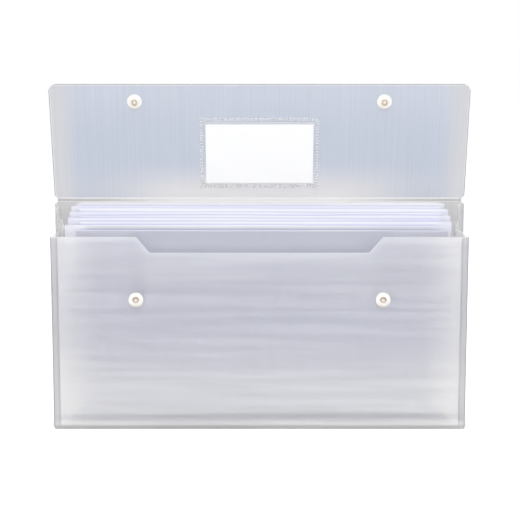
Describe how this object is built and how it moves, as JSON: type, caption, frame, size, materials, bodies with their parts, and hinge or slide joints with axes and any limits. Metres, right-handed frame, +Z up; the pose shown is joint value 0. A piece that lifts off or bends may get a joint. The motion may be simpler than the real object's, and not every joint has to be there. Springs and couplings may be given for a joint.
{
  "type": "snap document wallet",
  "caption": "Translucent plastic document wallet standing open, with a folding flap, V-fold gussets, press snaps, a label pocket and a stack of papers.",
  "frame": {"origin": "middle of the whole wallet's box, on the surface it stands on", "axes": "+X along the wallet to the viewer's right, +Y from the front panel to the back panel, +Z up"},
  "size_m": [0.33, 0.0336, 0.2752],
  "materials": {
    "frosted_sheet": "translucent frosted polypropylene sheet with a fine embossed line grain",
    "gusset_film": "thin translucent film, lightly crumpled",
    "snap_plastic": "moulded white plastic",
    "clear_film": "clear film with a knurled weld band",
    "card": "smooth white card",
    "paper": "plain white office paper"
  },
  "bodies": {
    "wallet": {"back_panel": "frosted_sheet", "spine_strip": "frosted_sheet", "gusset_left": "gusset_film", "gusset_right": "gusset_film", "gusset_bottom": "gusset_film", "paper_bundle_1": "paper", "paper_bundle_2": "paper", "paper_bundle_3": "paper", "paper_bundle_4": "paper", "paper_bundle_5": "paper", "paper_bundle_6": "paper", "paper_bundle_7": "paper", "paper_bundle_8": "paper", "paper_bundle_9": "paper"},
    "front": {"front_panel": "frosted_sheet", "front_socket_left": "snap_plastic", "front_socket_right": "snap_plastic", "front_cap_left": "snap_plastic", "front_cap_right": "snap_plastic"},
    "flap": {"flap_panel": "frosted_sheet", "flap_stud_left": "snap_plastic", "flap_stud_right": "snap_plastic", "flap_cap_left": "snap_plastic", "flap_cap_right": "snap_plastic", "label_film": "clear_film"},
    "card": {"label_card": "card"}
  },
  "joints": [
    {"name": "flap_fold", "type": "hinge", "parent": "wallet", "child": "flap", "pos_m": [0, 0.0168, 0.1831], "axis": [1, 0, 0], "range_deg": [-190, 105]},
    {"name": "front_swing", "type": "hinge", "parent": "wallet", "child": "front", "pos_m": [0, -0.0142, 0], "axis": [1, 0, 0], "range_deg": [0, 3.3], "deforming": ["gusset_left", "gusset_right"]},
    {"name": "card_slide", "type": "slide", "parent": "flap", "child": "card", "axis": [0, -0.2453, 0.9694], "range_m": [-0.0012, 0.052]}
  ]
}
